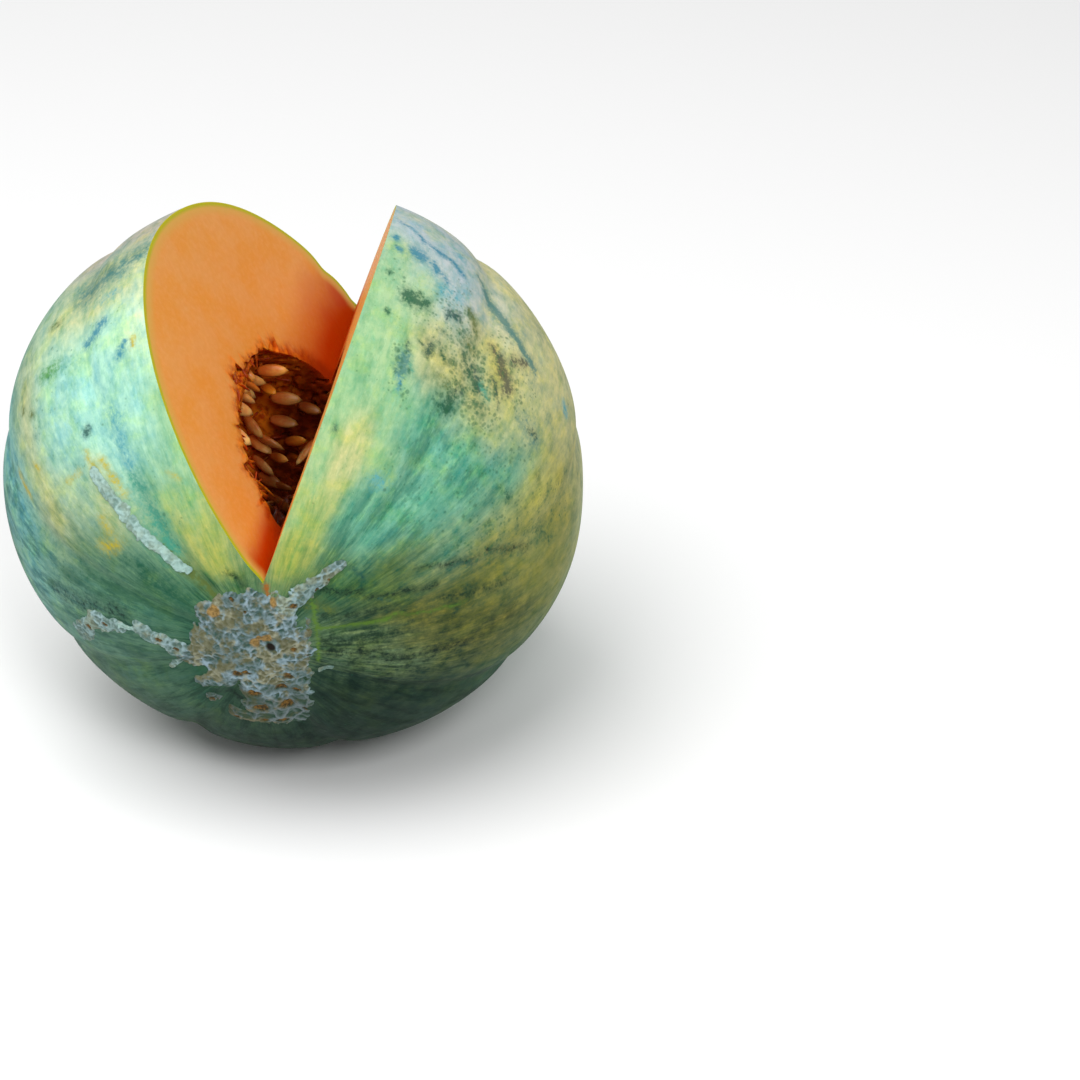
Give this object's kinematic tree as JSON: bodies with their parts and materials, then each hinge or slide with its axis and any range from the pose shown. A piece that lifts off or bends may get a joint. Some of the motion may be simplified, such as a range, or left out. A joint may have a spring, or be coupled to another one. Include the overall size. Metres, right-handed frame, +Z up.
{
  "type": "cantaloupe melon",
  "caption": "Ribbed cantaloupe melon lying on its side, with a wedge cut out of its top that opens the seed hollow, and a raised cork net at its blossom end.",
  "frame": {"origin": "centre of the footprint, on the surface that the melon lies on", "axes": "+Z up, out of the open wedge; -Y towards the blossom end with the cork net; +X to the right as one looks at that end"},
  "size_m": [0.168, 0.1514, 0.1616],
  "materials": {
    "rind": "smooth and waxy, with mint, yellow and blue-green streaks and grey cork net",
    "flesh": "moist cut flesh, orange, yellow-green under the rind",
    "seed_pulp": "wet red-orange pulp and tan seeds"
  },
  "bodies": {
    "root": {"melon_body": "rind", "seed_mass_left": "seed_pulp", "seed_mass_right": "seed_pulp", "seed_mass_floor": "seed_pulp"}
  },
  "joints": []
}
